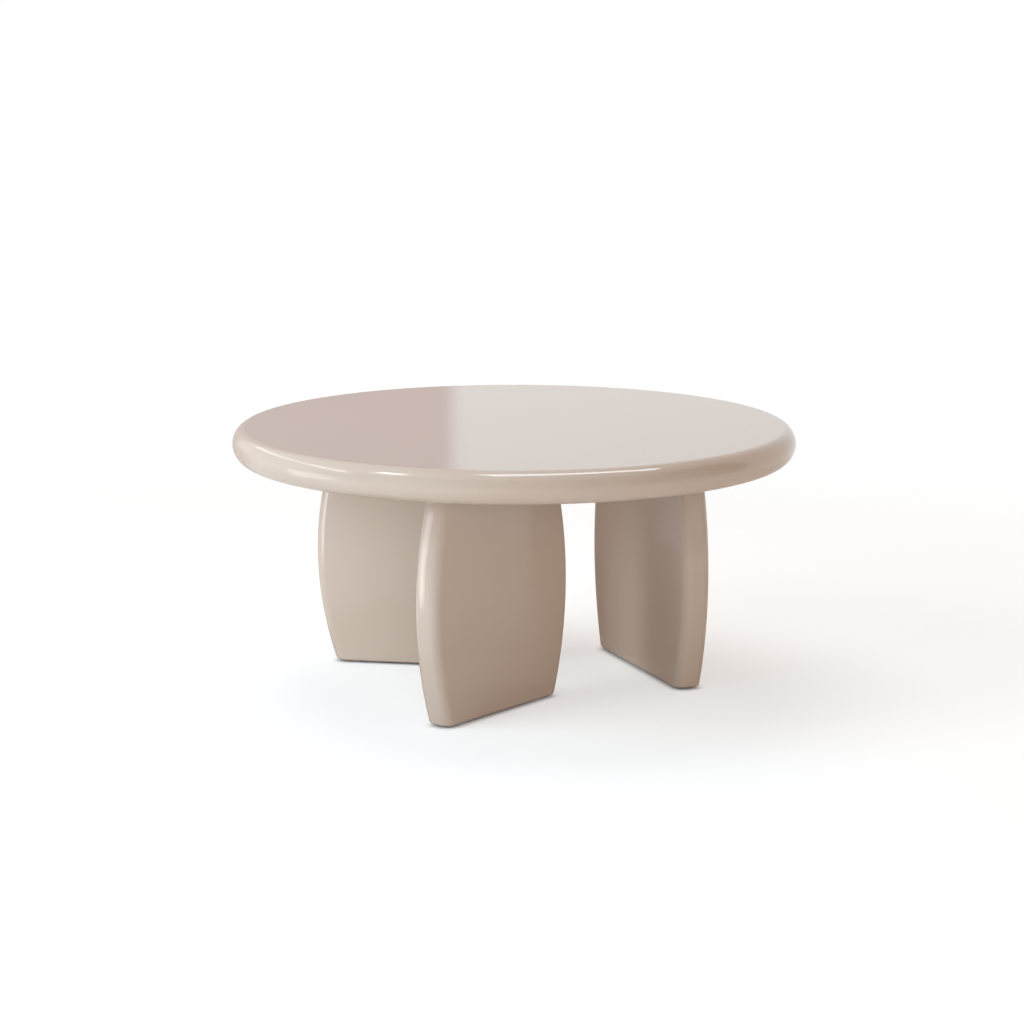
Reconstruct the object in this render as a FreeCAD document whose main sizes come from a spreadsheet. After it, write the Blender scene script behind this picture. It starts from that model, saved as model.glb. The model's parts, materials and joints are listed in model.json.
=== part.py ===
# A round cocktail table: a thick lacquered top on three bowed panel legs.
# The origin is on the floor under the centre of the top, and +Z points up.
# The table is alike on both sides of the XZ plane: one leg stands square across
# the +X side, and a pair of legs stands turned in towards it on the -X side.
import FreeCAD
import Part
import Sketcher
import os

# Driving dimensions in millimetres, angles in degrees and shares of one
SIZES = {
    # The whole table, and the gap between the legs and the floor
    "table_diameter": 914,
    "table_height": 428,
    "floor_gap": 3,
    # The top, with a rim that is a soft nose of three arcs
    "top_thickness": 52,
    "rim_depth": 21,
    "rim_corner_share": 0.8,
    # The legs, barrel shaped seen from their broad side, with round edges
    "cross_leg_length": 395,
    "pair_leg_length": 344,
    "leg_thickness": 46,
    "leg_bulge": 32,
    "leg_edge_radius": 16,
    "leg_toe_radius": 5,
    "edge_limit_share": 0.45,
    # Where the legs stand
    "cross_leg_reach": 242,
    "pair_leg_setback": 104,
    "pair_leg_spread": 175,
    "pair_leg_angle": 31,
    # Steel plates on the legs' upper ends, let into the underside of the top
    "plate_thickness": 5,
    "plate_flange": 35,
    "plate_inset": 55,
    "plate_corner_radius": 8,
    "recess_clearance": 0.5,
    # Countersunk screws from the plates into the legs
    "screw_diameter": 7,
    "screw_head_diameter": 13,
    "screw_head_height": 3,
    "screw_length": 60,
    "screw_tip_length": 8,
    "outer_screw_share": 0.8,
    "inner_screw_share": 0.27,
    # Bolts, washers and threaded inserts between the plates and the top
    "bolt_diameter": 6,
    "bolt_length": 18,
    "bolt_head_diameter": 11,
    "bolt_head_height": 4,
    "bolt_socket_width": 4,
    "bolt_socket_depth": 2.5,
    "bolt_place_share": 0.72,
    "washer_diameter": 15,
    "washer_thickness": 1.5,
    "insert_diameter": 10,
    "insert_length": 15,
    # Dowels between the legs and the top
    "dowel_diameter": 10,
    "dowel_length": 50,
    "dowel_inset": 30,
    "dowel_chamfer": 1,
    "dowel_end_room": 1,
    # Levelling feet under the legs
    "foot_inset": 45,
    "foot_headroom": 0.7,
    "pocket_clearance": 3,
    "foot_insert_diameter": 12,
    "foot_insert_length": 20,
    "stem_diameter": 8,
    "stem_reach": 35,
    "stem_end_room": 4,
    "collar_width": 13,
    "collar_height": 4,
    "heel_diameter": 12,
    "base_diameter": 26,
    "base_height": 8,
    "base_floor": 2,
    "base_mouth": 2,
    "base_shoulder": 3,
    "pad_diameter": 24,
    "pad_height": 4,
    "pad_chamfer": 1,
    # Radial clearances of close fits and of free holes, and the overrun of cuts
    "fit_clearance": 0.05,
    "free_clearance": 0.3,
    "cut_overrun": 1,
}

doc = FreeCAD.newDocument("cocktail_table")
sheet = doc.addObject("Spreadsheet::Sheet", "Size")
for row, (alias, value) in enumerate(SIZES.items(), start=1):
    sheet.set(f"A{row}", alias)
    sheet.set(f"B{row}", str(value))
    sheet.setAlias(f"B{row}", alias)
doc.recompute()

# Heights and widths that several pieces share
UNDERSIDE = "(Size.table_height - Size.top_thickness)"
LEG_HEIGHT = f"({UNDERSIDE} - Size.floor_gap)"
PLATE_WIDTH = "(Size.leg_thickness + 2 * Size.plate_flange)"
BOLT_ROW = "(Size.leg_thickness / 2 + Size.plate_flange / 2)"
BASE_TOP = "(Size.pad_height + Size.base_height)"
COLLAR_TOP = f"({BASE_TOP} + Size.free_clearance + Size.collar_height)"
POCKET_CEILING = f"({COLLAR_TOP} + Size.foot_headroom)"
POCKET_DEPTH = f"({POCKET_CEILING} - Size.floor_gap)"
STEM_BORE_DEPTH = f"({POCKET_DEPTH} + Size.stem_reach + Size.stem_end_room)"
SCREW_DEPTH = "(Size.screw_length - Size.plate_thickness)"
DOWEL_DEPTH = "(Size.dowel_length / 2 + Size.dowel_end_room)"
INSERT_HOLE = "(Size.insert_diameter / 2 + Size.fit_clearance)"
FOOT_INSERT_HOLE = "(Size.foot_insert_diameter / 2 + Size.fit_clearance)"
DOWEL_HOLE = "(Size.dowel_diameter / 2 + Size.fit_clearance)"
SCREW_HOLE = "(Size.screw_diameter / 2 + Size.fit_clearance)"
BOLT_WAY = "(Size.bolt_diameter / 2 + Size.free_clearance)"
ZERO = "0"
QUARTER_TURN = "90"

# The three legs: how long each is, where it stands and how far its length is turned from +X
LEGS = {
    "cross": {
        "length": "Size.cross_leg_length",
        "x": "Size.cross_leg_reach",
        "y": ZERO,
        "turn": QUARTER_TURN,
    },
    "front": {
        "length": "Size.pair_leg_length",
        "x": "-Size.pair_leg_setback",
        "y": "-Size.pair_leg_spread",
        "turn": "Size.pair_leg_angle",
    },
    "back": {
        "length": "Size.pair_leg_length",
        "x": "-Size.pair_leg_setback",
        "y": "Size.pair_leg_spread",
        "turn": "-Size.pair_leg_angle",
    },
}


def end_half(length):
    """Half the length of a leg's flat upper and lower ends."""
    return f"({length} / 2 - Size.leg_bulge)"


def plate_half(length):
    """Half the length of the plate on a leg's upper end."""
    return f"({end_half(length)} - Size.plate_inset)"


def number(expression):
    """The present value of an expression, for first positions in a sketch."""
    return float(sheet.evalExpression(expression))


def place(piece, x=ZERO, y=ZERO, z=ZERO, turn=ZERO):
    """Tie a piece's place, and its turn about Z, to the sheet."""
    if turn != ZERO:
        piece.Placement.Rotation = FreeCAD.Rotation(FreeCAD.Vector(0, 0, 1), number(turn))
        piece.setExpression("Placement.Rotation.Angle", turn)
    for axis, expression in (("x", x), ("y", y), ("z", z)):
        if expression != ZERO:
            piece.setExpression(f"Placement.Base.{axis}", expression)
    return piece


def primitive(kind, name, sizes, **where):
    """A simple solid whose sizes and place are tied to the sheet."""
    piece = doc.addObject(kind, name)
    for size_name, expression in sizes.items():
        piece.setExpression(size_name, expression)
    return place(piece, **where)


def cylinder(name, radius, height, **where):
    """A round bar that stands on its place."""
    return primitive("Part::Cylinder", name, {"Radius": radius, "Height": height}, **where)


def cone(name, lower, upper, height, **where):
    """A round bar that tapers from its lower to its upper radius."""
    return primitive("Part::Cone", name, {"Radius1": lower, "Radius2": upper, "Height": height}, **where)


def hexagon(name, width, height, **where):
    """A six-sided bar, measured across its flats."""
    return primitive("Part::Prism", name, {"Circumradius": f"{width} / sqrt(3)", "Height": height}, **where)


def fuse(name, pieces):
    """Several solids as one."""
    joined = doc.addObject("Part::MultiFuse", name)
    joined.Shapes = pieces
    return joined


def cut(name, base, tool):
    """A solid with a tool's space taken out of it."""
    rest = doc.addObject("Part::Cut", name)
    rest.Base = base
    rest.Tool = tool
    return rest


def group(name, pieces, **where):
    """Separate solids, kept together and placed together."""
    together = doc.addObject("Part::Compound", name)
    together.Links = pieces
    return place(together, **where)


def at_leg(name, leg, pieces, z=ZERO):
    """Pieces drawn about a leg's middle, moved to where that leg stands."""
    return group(name, pieces, x=leg["x"], y=leg["y"], z=z, turn=leg["turn"])


def copies(name, source, places):
    """Copies of one solid at places along and across a leg."""
    return [group(f"{name}_{k}", [source], x=x, y=y) for k, (x, y) in enumerate(places, start=1)]


def sketch_on(body, role, name):
    """An empty sketch on one of the body's own planes."""
    plane = next(feature for feature in body.Origin.OriginFeatures if feature.Role == role)
    sketch = body.newObject("Sketcher::SketchObject", name)
    sketch.AttachmentSupport = [(plane, "")]
    sketch.MapMode = "FlatFace"
    return sketch


def drive(sketch, expression, kind, *where):
    """A dimension of a sketch, tied to the sheet."""
    index = sketch.addConstraint(Sketcher.Constraint(kind, *where, number(expression)))
    sketch.setExpression(f"Constraints[{index}]", expression)


def fillet(body, base, name, edges, radius):
    """Round some edges of a body's last feature."""
    feature = body.newObject("PartDesign::Fillet", name)
    feature.Base = (base, edges)
    feature.setExpression("Radius", radius)
    doc.recompute()
    return feature


def named_edges(shape, wanted):
    """Names of the edges of a shape that pass a test."""
    return [f"Edge{k}" for k, edge in enumerate(shape.Edges, start=1) if wanted(edge)]


# Ends of sketch lines and arcs, and the sketch's own origin and upright axis
START, END, MIDDLE = 1, 2, 3
ORIGIN, UPRIGHT = -1, -2


def top_blank():
    """The top as a turned disc, its underside at zero."""
    flat = "(Size.table_diameter / 2 - Size.rim_depth)"
    corner = "(Size.rim_corner_share * min(Size.rim_depth; Size.top_thickness / 2))"
    rise = f"(Size.top_thickness / 2 - {corner})"
    belly = f"((Size.rim_depth ^ 2 + {rise} ^ 2 - {corner} ^ 2) / (2 * (Size.rim_depth - {corner})))"
    flat_r, corner_r, belly_r, rise_z = (number(e) for e in (flat, corner, belly, rise))
    thickness = number("Size.top_thickness")
    middle = FreeCAD.Vector(number("Size.table_diameter / 2") - belly_r, thickness / 2, 0)
    lower = FreeCAD.Vector(flat_r, corner_r, 0)
    upper = FreeCAD.Vector(flat_r, thickness - corner_r, 0)
    reach = corner_r / (belly_r - corner_r)
    low_meet = lower + (lower - middle) * reach
    high_meet = upper + (upper - middle) * reach

    body = doc.addObject("PartDesign::Body", "top_blank")
    sketch = sketch_on(body, "XZ_Plane", "top_profile")

    def arc(centre, begin, finish):
        circle = Part.Circle(centre, FreeCAD.Vector(0, 0, 1), (begin - centre).Length)
        return Part.ArcOfCircle(circle, circle.parameter(begin), circle.parameter(finish))

    corners = [
        FreeCAD.Vector(0, 0, 0),
        FreeCAD.Vector(flat_r, 0, 0),
        FreeCAD.Vector(flat_r, thickness, 0),
        FreeCAD.Vector(0, thickness, 0),
    ]
    bottom = sketch.addGeometry(Part.LineSegment(corners[0], corners[1]))
    low_arc = sketch.addGeometry(arc(lower, corners[1], low_meet))
    nose = sketch.addGeometry(arc(middle, low_meet, high_meet))
    high_arc = sketch.addGeometry(arc(upper, high_meet, corners[2]))
    top = sketch.addGeometry(Part.LineSegment(corners[2], corners[3]))
    axis = sketch.addGeometry(Part.LineSegment(corners[3], corners[0]))
    outline = [bottom, low_arc, nose, high_arc, top]
    for first, second in zip(outline, outline[1:]):
        sketch.addConstraint(Sketcher.Constraint("Tangent", first, END, second, START))
    sketch.addConstraint(Sketcher.Constraint("Coincident", top, END, axis, START))
    sketch.addConstraint(Sketcher.Constraint("Coincident", axis, END, bottom, START))
    sketch.addConstraint(Sketcher.Constraint("Coincident", bottom, START, ORIGIN, START))
    sketch.addConstraint(Sketcher.Constraint("Horizontal", bottom))
    sketch.addConstraint(Sketcher.Constraint("Horizontal", top))
    sketch.addConstraint(Sketcher.Constraint("Vertical", axis))
    sketch.addConstraint(Sketcher.Constraint("Equal", bottom, top))
    sketch.addConstraint(Sketcher.Constraint("Equal", low_arc, high_arc))
    drive(sketch, flat, "DistanceX", bottom, START, bottom, END)
    drive(sketch, "Size.top_thickness", "DistanceY", axis, END, axis, START)
    drive(sketch, corner, "Radius", low_arc)
    drive(sketch, belly, "Radius", nose)

    turned = body.newObject("PartDesign::Revolution", "top_turned")
    turned.Profile = sketch
    turned.ReferenceAxis = (sketch, ["V_Axis"])
    doc.recompute()
    return body


# An edge lies on a leg's lower end when it stays within this share of the leg's height
FLOOR_SHARE = 0.001


def leg_blank(name, length):
    """A leg without its holes: a barrel outline given its thickness and round edges."""
    half = end_half(length)
    arc_radius = f"(({LEG_HEIGHT} / 2) ^ 2 + Size.leg_bulge ^ 2) / (2 * Size.leg_bulge)"
    half_x, height, widest = number(half), number(LEG_HEIGHT), number(f"{length} / 2")
    low_left, low_right = FreeCAD.Vector(-half_x, 0, 0), FreeCAD.Vector(half_x, 0, 0)
    high_left, high_right = FreeCAD.Vector(-half_x, height, 0), FreeCAD.Vector(half_x, height, 0)

    body = doc.addObject("PartDesign::Body", f"{name}_leg_blank")
    sketch = sketch_on(body, "XZ_Plane", f"{name}_leg_outline")
    bottom = sketch.addGeometry(Part.LineSegment(low_left, low_right))
    right = sketch.addGeometry(Part.Arc(low_right, FreeCAD.Vector(widest, height / 2, 0), high_right))
    top = sketch.addGeometry(Part.LineSegment(high_right, high_left))
    left = sketch.addGeometry(Part.Arc(high_left, FreeCAD.Vector(-widest, height / 2, 0), low_left))
    for first, second in ((bottom, right), (right, top), (top, left), (left, bottom)):
        sketch.addConstraint(Sketcher.Constraint("Coincident", first, END, second, START))
    sketch.addConstraint(Sketcher.Constraint("Symmetric", bottom, START, bottom, END, ORIGIN, START))
    sketch.addConstraint(Sketcher.Constraint("Horizontal", bottom))
    sketch.addConstraint(Sketcher.Constraint("Symmetric", top, START, top, END, UPRIGHT))
    drive(sketch, f"2 * {half}", "DistanceX", bottom, START, bottom, END)
    drive(sketch, f"2 * {half}", "DistanceX", top, END, top, START)
    drive(sketch, LEG_HEIGHT, "DistanceY", bottom, START, top, END)
    drive(sketch, arc_radius, "Radius", right)
    drive(sketch, arc_radius, "Radius", left)

    pad = body.newObject("PartDesign::Pad", f"{name}_leg_pad")
    pad.Profile = sketch
    pad.SideType = "Symmetric"
    pad.setExpression("Length", "Size.leg_thickness")
    doc.recompute()
    bowed = named_edges(pad.Shape, lambda edge: isinstance(edge.Curve, Part.Circle))
    edge_radius = "min(Size.leg_edge_radius; Size.edge_limit_share * Size.leg_thickness)"
    rounded = fillet(body, pad, f"{name}_leg_edges", bowed, edge_radius)
    on_floor = named_edges(rounded.Shape, lambda edge: edge.BoundBox.ZMax < height * FLOOR_SHARE)
    fillet(body, rounded, f"{name}_leg_toe", on_floor, "Size.leg_toe_radius")
    return body


def plate_blank(name, length, width, height, radius, z=ZERO):
    """A flat plate with round corners, centred on its place."""
    long_half, wide_half = number(f"{length} / 2"), number(f"{width} / 2")
    body = doc.addObject("PartDesign::Body", name)
    sketch = sketch_on(body, "XY_Plane", f"{name}_outline")
    signs = ((-1, -1), (1, -1), (1, 1), (-1, 1))
    points = [FreeCAD.Vector(sx * long_half, sy * wide_half, 0) for sx, sy in signs]
    sides = [sketch.addGeometry(Part.LineSegment(points[k - 1], points[k])) for k in range(len(points))]
    for k, side in enumerate(sides):
        sketch.addConstraint(Sketcher.Constraint("Coincident", sides[k - 1], END, side, START))
    for upright in sides[0::2]:
        sketch.addConstraint(Sketcher.Constraint("Vertical", upright))
    for level in sides[1::2]:
        sketch.addConstraint(Sketcher.Constraint("Horizontal", level))
    sketch.addConstraint(Sketcher.Constraint("Symmetric", sides[0], START, sides[1], END, ORIGIN, START))
    drive(sketch, length, "DistanceX", sides[1], START, sides[1], END)
    drive(sketch, width, "DistanceY", sides[2], START, sides[2], END)

    pad = body.newObject("PartDesign::Pad", f"{name}_pad")
    pad.Profile = sketch
    pad.setExpression("Length", height)
    doc.recompute()
    tall = number(height)
    upright_edges = named_edges(pad.Shape, lambda edge: edge.BoundBox.ZLength > tall / 2)
    fillet(body, pad, f"{name}_corners", upright_edges, radius)
    return place(body, z=z)


def screw_places(length):
    """Places of the screws along a leg's upper end."""
    shares = ("Size.outer_screw_share", "Size.inner_screw_share")
    return [(f"{sign}{share} * {plate_half(length)}", ZERO) for share in shares for sign in ("", "-")]


def bolt_places(length):
    """Places of the bolts, two in each flange of a plate."""
    along = f"Size.bolt_place_share * {plate_half(length)}"
    return [(f"{sx}{along}", f"{sy}{BOLT_ROW}") for sx in ("", "-") for sy in ("", "-")]


def dowel_places(length):
    """Places of the two dowels, outside the plate's ends."""
    along = f"({end_half(length)} - Size.dowel_inset)"
    return [(along, ZERO), (f"-{along}", ZERO)]


def foot_places(length):
    """Places of the two levelling feet."""
    along = f"({end_half(length)} - Size.foot_inset)"
    return [(along, ZERO), (f"-{along}", ZERO)]


def tabletop():
    """The top with a recess, insert holes and dowel holes for each leg."""
    insert_hole = cylinder("top_insert_hole", INSERT_HOLE, "Size.insert_length + Size.cut_overrun")
    dowel_hole = cylinder("top_dowel_hole", DOWEL_HOLE, f"{DOWEL_DEPTH} + Size.cut_overrun")
    place(insert_hole, z="Size.plate_thickness - Size.cut_overrun")
    place(dowel_hole, z="-Size.cut_overrun")
    spaces = []
    for name, leg in LEGS.items():
        recess = plate_blank(
            f"{name}_recess",
            f"2 * ({plate_half(leg['length'])} + Size.recess_clearance)",
            f"({PLATE_WIDTH} + 2 * Size.recess_clearance)",
            "Size.plate_thickness + Size.cut_overrun",
            "Size.plate_corner_radius + Size.recess_clearance",
            z="-Size.cut_overrun",
        )
        holes = copies(f"{name}_top_insert_hole", insert_hole, bolt_places(leg["length"]))
        holes += copies(f"{name}_top_dowel_hole", dowel_hole, dowel_places(leg["length"]))
        spaces.append(at_leg(f"{name}_top_space", leg, [fuse(f"{name}_top_cutter", [recess] + holes)]))
    return place(cut("tabletop", top_blank(), fuse("top_cutter", spaces)), z=UNDERSIDE)


def leg_with_holes(name, length):
    """A leg, with screw and dowel holes in its upper end and foot sockets in its lower end."""
    screw_hole = cylinder(f"{name}_screw_hole", SCREW_HOLE, f"{SCREW_DEPTH} + Size.cut_overrun")
    dowel_hole = cylinder(f"{name}_dowel_hole", DOWEL_HOLE, f"{DOWEL_DEPTH} + Size.cut_overrun")
    place(screw_hole, z=f"{LEG_HEIGHT} - {SCREW_DEPTH}")
    place(dowel_hole, z=f"{LEG_HEIGHT} - {DOWEL_DEPTH}")
    pocket_radius = "Size.base_diameter / 2 + Size.pocket_clearance"
    pocket = cylinder(f"{name}_pocket", pocket_radius, f"{POCKET_DEPTH} + Size.cut_overrun")
    place(pocket, z="-Size.cut_overrun")
    nut_hole = cylinder(f"{name}_nut_hole", FOOT_INSERT_HOLE, f"{POCKET_DEPTH} + Size.foot_insert_length")
    stem_bore = cylinder(f"{name}_stem_bore", "Size.stem_diameter / 2 + Size.free_clearance", STEM_BORE_DEPTH)
    socket = fuse(f"{name}_foot_socket", [pocket, nut_hole, stem_bore])
    spaces = copies(f"{name}_leg_screw_hole", screw_hole, screw_places(length))
    spaces += copies(f"{name}_leg_dowel_hole", dowel_hole, dowel_places(length))
    spaces += copies(f"{name}_leg_foot_socket", socket, foot_places(length))
    return cut(f"{name}_leg_shape", leg_blank(name, length), fuse(f"{name}_leg_cutter", spaces))


def plate_with_holes(name, length):
    """A plate with countersunk screw holes along its middle and bolt holes in its flanges."""
    blank = plate_blank(
        f"{name}_plate_blank",
        f"2 * {plate_half(length)}",
        PLATE_WIDTH,
        "Size.plate_thickness",
        "Size.plate_corner_radius",
    )
    wide = "Size.screw_head_diameter / 2 + Size.free_clearance"
    narrow = "Size.screw_diameter / 2 + Size.free_clearance"
    sink = cone(f"{name}_sink", narrow, wide, "Size.screw_head_height")
    place(sink, z="Size.plate_thickness - Size.screw_head_height")
    screw_hole = cylinder(f"{name}_plate_screw_hole", narrow, "Size.plate_thickness")
    bolt_hole = cylinder(f"{name}_bolt_hole", BOLT_WAY, "Size.plate_thickness")
    spaces = copies(f"{name}_plate_sink", fuse(f"{name}_sunk_hole", [sink, screw_hole]), screw_places(length))
    spaces += copies(f"{name}_plate_bolt_hole", bolt_hole, bolt_places(length))
    return cut(f"{name}_plate_shape", blank, fuse(f"{name}_plate_cutter", spaces))


def leg_screw():
    """A countersunk screw that hangs from its head's upper face."""
    shank = "Size.screw_diameter / 2"
    sharp = "Size.screw_length - Size.screw_tip_length"
    head = cone("screw_head", shank, "Size.screw_head_diameter / 2", "Size.screw_head_height")
    bar = cylinder("screw_bar", shank, f"{sharp} - Size.screw_head_height", z=f"-({sharp})")
    tip = cone("screw_tip", ZERO, shank, "Size.screw_tip_length", z="-Size.screw_length")
    return fuse("leg_screw", [place(head, z="-Size.screw_head_height"), bar, tip])


def top_bolt():
    """A bolt with a hexagon socket, its head below its seat at zero."""
    head = cylinder("bolt_head", "Size.bolt_head_diameter / 2", "Size.bolt_head_height")
    place(head, z="-Size.bolt_head_height")
    shank = cylinder("bolt_shank", "Size.bolt_diameter / 2", "Size.bolt_length")
    depth = "Size.bolt_socket_depth + Size.cut_overrun"
    socket = hexagon("bolt_socket", "Size.bolt_socket_width", depth)
    place(socket, z="-Size.bolt_head_height - Size.cut_overrun")
    return cut("top_bolt", fuse("bolt_solid", [head, shank]), socket)


def ring(name, outer, bore, height):
    """A round piece with a hole through it."""
    hole = cylinder(f"{name}_bore", bore, f"{height} + 2 * Size.cut_overrun", z="-Size.cut_overrun")
    return cut(name, cylinder(f"{name}_outside", outer, height), hole)


def leg_dowel():
    """A dowel with chamfered ends, its middle at zero."""
    radius = "Size.dowel_diameter / 2"
    point = f"{radius} - Size.dowel_chamfer"
    half = "Size.dowel_length / 2"
    straight = cylinder("dowel_bar", radius, "Size.dowel_length - 2 * Size.dowel_chamfer")
    place(straight, z=f"Size.dowel_chamfer - {half}")
    lower = cone("dowel_lower_end", point, radius, "Size.dowel_chamfer", z=f"-{half}")
    upper = cone("dowel_upper_end", radius, point, "Size.dowel_chamfer", z=f"{half} - Size.dowel_chamfer")
    return fuse("leg_dowel", [straight, lower, upper])


def foot_pad():
    """The pad that stands on the floor."""
    radius = "Size.pad_diameter / 2"
    toe = cone("pad_toe", f"{radius} - Size.pad_chamfer", radius, "Size.pad_chamfer")
    body = cylinder("pad_body", radius, "Size.pad_height - Size.pad_chamfer", z="Size.pad_chamfer")
    return fuse("foot_pad", [toe, body])


def foot_base():
    """The base on the pad, with a socket that holds the stem's heel under a narrower mouth."""
    radius = "Size.base_diameter / 2"
    skirt = cylinder("base_skirt", radius, "Size.base_height - Size.base_shoulder", z="Size.pad_height")
    neck = f"{radius} - Size.base_shoulder"
    shoulder = cone("base_shoulder_cone", radius, neck, "Size.base_shoulder")
    place(shoulder, z=f"{BASE_TOP} - Size.base_shoulder")
    depth = "(Size.base_height - Size.base_floor - Size.base_mouth)"
    socket = cylinder("base_socket", "Size.heel_diameter / 2 + Size.fit_clearance", depth)
    place(socket, z="Size.pad_height + Size.base_floor")
    mouth_height = "Size.base_mouth + Size.cut_overrun"
    mouth = cylinder("base_mouth_hole", "Size.stem_diameter / 2 + Size.free_clearance", mouth_height)
    place(mouth, z=f"{BASE_TOP} - Size.base_mouth")
    return cut("foot_base", fuse("base_solid", [skirt, shoulder]), fuse("base_hollow", [socket, mouth]))


def foot_stem():
    """The threaded stem, from the heel in the base up into the leg, with a collar for a spanner."""
    heel_floor = "(Size.pad_height + Size.base_floor + Size.fit_clearance)"
    heel_top = f"({BASE_TOP} - Size.base_mouth - Size.fit_clearance)"
    heel = cylinder("stem_heel", "Size.heel_diameter / 2", f"{heel_top} - {heel_floor}", z=heel_floor)
    stem_top = f"({POCKET_CEILING} + Size.stem_reach)"
    bar = cylinder("stem_bar", "Size.stem_diameter / 2", f"{stem_top} - {heel_floor}", z=heel_floor)
    collar = hexagon("stem_collar", "Size.collar_width", "Size.collar_height")
    place(collar, z=f"{COLLAR_TOP} - Size.collar_height")
    return fuse("foot_stem", [heel, bar, collar])


def leg_row(name, source, places, z):
    """One node that holds copies of a fastener at its places on every leg."""
    rows = []
    for leg_name, leg in LEGS.items():
        row = copies(f"{name}_{leg_name}", source, places(leg["length"]))
        rows.append(at_leg(f"{name}_{leg_name}_row", leg, row, z=z))
    return group(name, rows)


# The sub-parts, each a node under its own name
nodes = {"tabletop": tabletop()}
for leg_name, leg in LEGS.items():
    shape = leg_with_holes(leg_name, leg["length"])
    nodes[f"{leg_name}_leg"] = at_leg(f"{leg_name}_leg", leg, [shape], z="Size.floor_gap")
    plate = plate_with_holes(leg_name, leg["length"])
    nodes[f"{leg_name}_plate"] = at_leg(f"{leg_name}_plate", leg, [plate], z=UNDERSIDE)

on_plate = f"({UNDERSIDE} + Size.plate_thickness)"
under_washer = f"({UNDERSIDE} - Size.washer_thickness)"
bolt_thread = "Size.bolt_diameter / 2 + Size.fit_clearance"
washer = ring("bolt_washer", "Size.washer_diameter / 2", BOLT_WAY, "Size.washer_thickness")
insert = ring("top_insert", "Size.insert_diameter / 2", bolt_thread, "Size.insert_length")
stem_thread = "Size.stem_diameter / 2 + Size.fit_clearance"
nut = ring("foot_insert", "Size.foot_insert_diameter / 2", stem_thread, "Size.foot_insert_length")
nodes["leg_screws"] = leg_row("leg_screws", leg_screw(), screw_places, on_plate)
nodes["top_bolts"] = leg_row("top_bolts", top_bolt(), bolt_places, under_washer)
nodes["bolt_washers"] = leg_row("bolt_washers", washer, bolt_places, under_washer)
nodes["top_inserts"] = leg_row("top_inserts", insert, bolt_places, on_plate)
nodes["leg_dowels"] = leg_row("leg_dowels", leg_dowel(), dowel_places, UNDERSIDE)
nodes["foot_inserts"] = leg_row("foot_inserts", nut, foot_places, POCKET_CEILING)

foot_pieces = {"pad": foot_pad(), "base": foot_base(), "stem": foot_stem()}
foot_count = 0
for leg in LEGS.values():
    for x, y in foot_places(leg["length"]):
        foot_count += 1
        for piece_name, source in foot_pieces.items():
            node = f"foot_{foot_count}_{piece_name}"
            spot = group(f"{node}_spot", [source], x=x, y=y)
            nodes[node] = at_leg(node, leg, [spot])

doc.recompute()

# Nothing is written unless every object is sound
for thing in doc.Objects:
    if "Invalid" in thing.State or "Error" in thing.State:
        raise RuntimeError(f"{thing.Name} failed: {thing.State}")
for name, piece in nodes.items():
    piece.Label = name
    if piece.Shape.isNull() or not piece.Shape.isValid() or not piece.Shape.Solids:
        raise RuntimeError(f"{name} has no sound shape")
for hollowed in doc.findObjects("Part::Cut"):
    if hollowed.Shape.Volume >= hollowed.Base.Shape.Volume:
        raise RuntimeError(f"{hollowed.Name} took nothing away")
for sketch in doc.findObjects("Sketcher::SketchObject"):
    if not sketch.FullyConstrained:
        raise RuntimeError(f"{sketch.Name} isn't fully tied")

os.makedirs("parts", exist_ok=True)
for name, piece in nodes.items():
    piece.Shape.exportStep(f"parts/{name}.step")
    print(f"{name}: {len(piece.Shape.Solids)} solids, {piece.Shape.Volume:.0f} cubic mm")
print(f"{len(nodes)} nodes")
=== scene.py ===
# %% [markdown]
# # A round cocktail table in glossy lacquer
# The table is a thick round top on three bowed panel legs. The construction comes in as a fixed
# frame: every fastener, plate and foot is already at its place, in metres, with +Z up and the
# origin on the floor under the middle of the top. This file adds the looks: smooth surfaces where
# gloss would show the flat triangles of the frame, a finish for every piece, a floor, light and a camera.
# Nothing of the frame is moved, so the box of the frame is kept here.

# %% Load the frame
import json
import math

import bpy
import numpy as np
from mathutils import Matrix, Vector


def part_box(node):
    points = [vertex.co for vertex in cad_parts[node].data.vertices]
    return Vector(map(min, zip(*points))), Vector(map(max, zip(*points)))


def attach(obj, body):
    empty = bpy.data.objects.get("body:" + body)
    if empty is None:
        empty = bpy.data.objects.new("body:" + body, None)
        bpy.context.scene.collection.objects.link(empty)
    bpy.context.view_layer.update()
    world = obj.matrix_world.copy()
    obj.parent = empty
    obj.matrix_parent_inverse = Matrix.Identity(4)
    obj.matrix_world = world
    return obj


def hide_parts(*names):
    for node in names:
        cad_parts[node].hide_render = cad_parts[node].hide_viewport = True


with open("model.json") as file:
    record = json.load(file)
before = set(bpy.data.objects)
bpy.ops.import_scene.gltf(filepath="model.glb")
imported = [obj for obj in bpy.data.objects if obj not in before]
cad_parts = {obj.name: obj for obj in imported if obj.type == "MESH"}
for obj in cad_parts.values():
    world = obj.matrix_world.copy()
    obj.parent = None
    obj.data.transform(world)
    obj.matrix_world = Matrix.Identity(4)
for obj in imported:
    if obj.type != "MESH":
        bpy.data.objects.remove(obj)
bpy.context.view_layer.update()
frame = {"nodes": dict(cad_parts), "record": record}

# %% [markdown]
# ## The camera
# A camera is placed most simply by the point it looks at, a direction and a distance. Seen from a
# long way off the far edge of a round top is nearly as wide as the near edge, and a long lens then
# fills the frame with it. The direction is given as a turn about the upright axis and a height
# above the horizon, because those two numbers are what the picture shows at a glance.

# %% Camera
CAMERA_TURN = math.radians(-21.11)
CAMERA_RISE = math.radians(10.71)
CAMERA_DISTANCE = 5.118
CAMERA_LENS = 110.08
SENSOR_WIDTH = 36.0
AIM_HEIGHT = 0.2823
AIM_SIDE = -0.0036

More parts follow.
